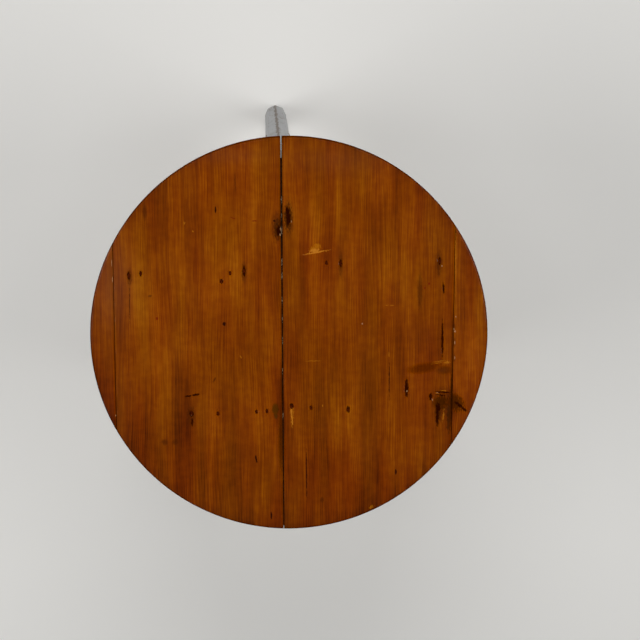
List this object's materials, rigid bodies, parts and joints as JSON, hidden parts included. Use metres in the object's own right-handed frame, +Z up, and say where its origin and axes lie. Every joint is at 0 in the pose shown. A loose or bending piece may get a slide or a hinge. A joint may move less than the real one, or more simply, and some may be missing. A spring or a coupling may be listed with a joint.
{
  "type": "cricket table",
  "caption": "Round pine-board table top on a splayed, pegged three-legged frame with triangular rails, stretchers and a low notched shelf; stands on the floor to hold things.",
  "frame": {"origin": "on the floor plane, under the middle of the table's bounding box; the table's own upright axis stands 11 mm in front of it, because the rear foot reaches past the rim", "axes": "+Z up out of the top; +Y towards the rear leg, 2 degrees off the line of the top's boards; +X to the right seen from the front"},
  "size_m": [0.61, 0.632, 0.66],
  "materials": {
    "varnished_top": "stained and varnished old pine, satin gloss",
    "bare_pine": "unfinished old pine, dry and darkened",
    "painted_frame": "old grey paint on pine, worn to brown wood along the arrises",
    "pegs": "hand-shaved hardwood peg ends with rubbed grey paint",
    "dowels": "bare hardwood dowel",
    "nails": "dark rusted cut iron"
  },
  "bodies": {
    "root": {"top_left_strip": "varnished_top", "top_left_board": "varnished_top", "top_right_board": "varnished_top", "top_right_strip": "varnished_top", "left_dowel_front": "dowels", "left_dowel_rear": "dowels", "centre_dowel_front": "dowels", "centre_dowel_middle": "dowels", "centre_dowel_rear": "dowels", "right_dowel_front": "dowels", "right_dowel_rear": "dowels", "cross_batten": "bare_pine", "front_rail": "painted_frame", "left_rail": "painted_frame", "right_rail": "painted_frame", "rear_leg": "painted_frame", "front_left_leg": "painted_frame", "front_right_leg": "painted_frame", "front_stretcher": "painted_frame", "left_stretcher": "painted_frame", "right_stretcher": "painted_frame", "shelf_front_board": "painted_frame", "shelf_rear_board": "painted_frame", "front_rail_front_left_peg": "pegs", "front_rail_front_right_peg": "pegs", "left_rail_front_left_peg": "pegs", "left_rail_rear_peg": "pegs", "right_rail_front_right_peg": "pegs", "right_rail_rear_peg": "pegs", "front_stretcher_front_left_peg": "pegs", "front_stretcher_front_right_peg": "pegs", "left_stretcher_front_left_peg": "pegs", "left_stretcher_rear_peg": "pegs", "right_stretcher_front_right_peg": "pegs", "right_stretcher_rear_peg": "pegs", "rail_nail_1": "nails", "rail_nail_2": "nails", "rail_nail_3": "nails", "rail_nail_4": "nails", "rail_nail_5": "nails", "rail_nail_6": "nails", "rail_nail_7": "nails", "batten_nail_1": "nails", "batten_nail_2": "nails", "batten_nail_3": "nails", "batten_nail_4": "nails", "batten_nail_5": "nails", "batten_nail_6": "nails", "batten_nail_7": "nails", "batten_nail_8": "nails", "front_shelf_nail_front_left": "nails", "front_shelf_nail_front_right": "nails", "left_shelf_nail_front_left": "nails", "left_shelf_nail_rear": "nails", "right_shelf_nail_front_right": "nails", "right_shelf_nail_rear": "nails"}
  },
  "joints": []
}
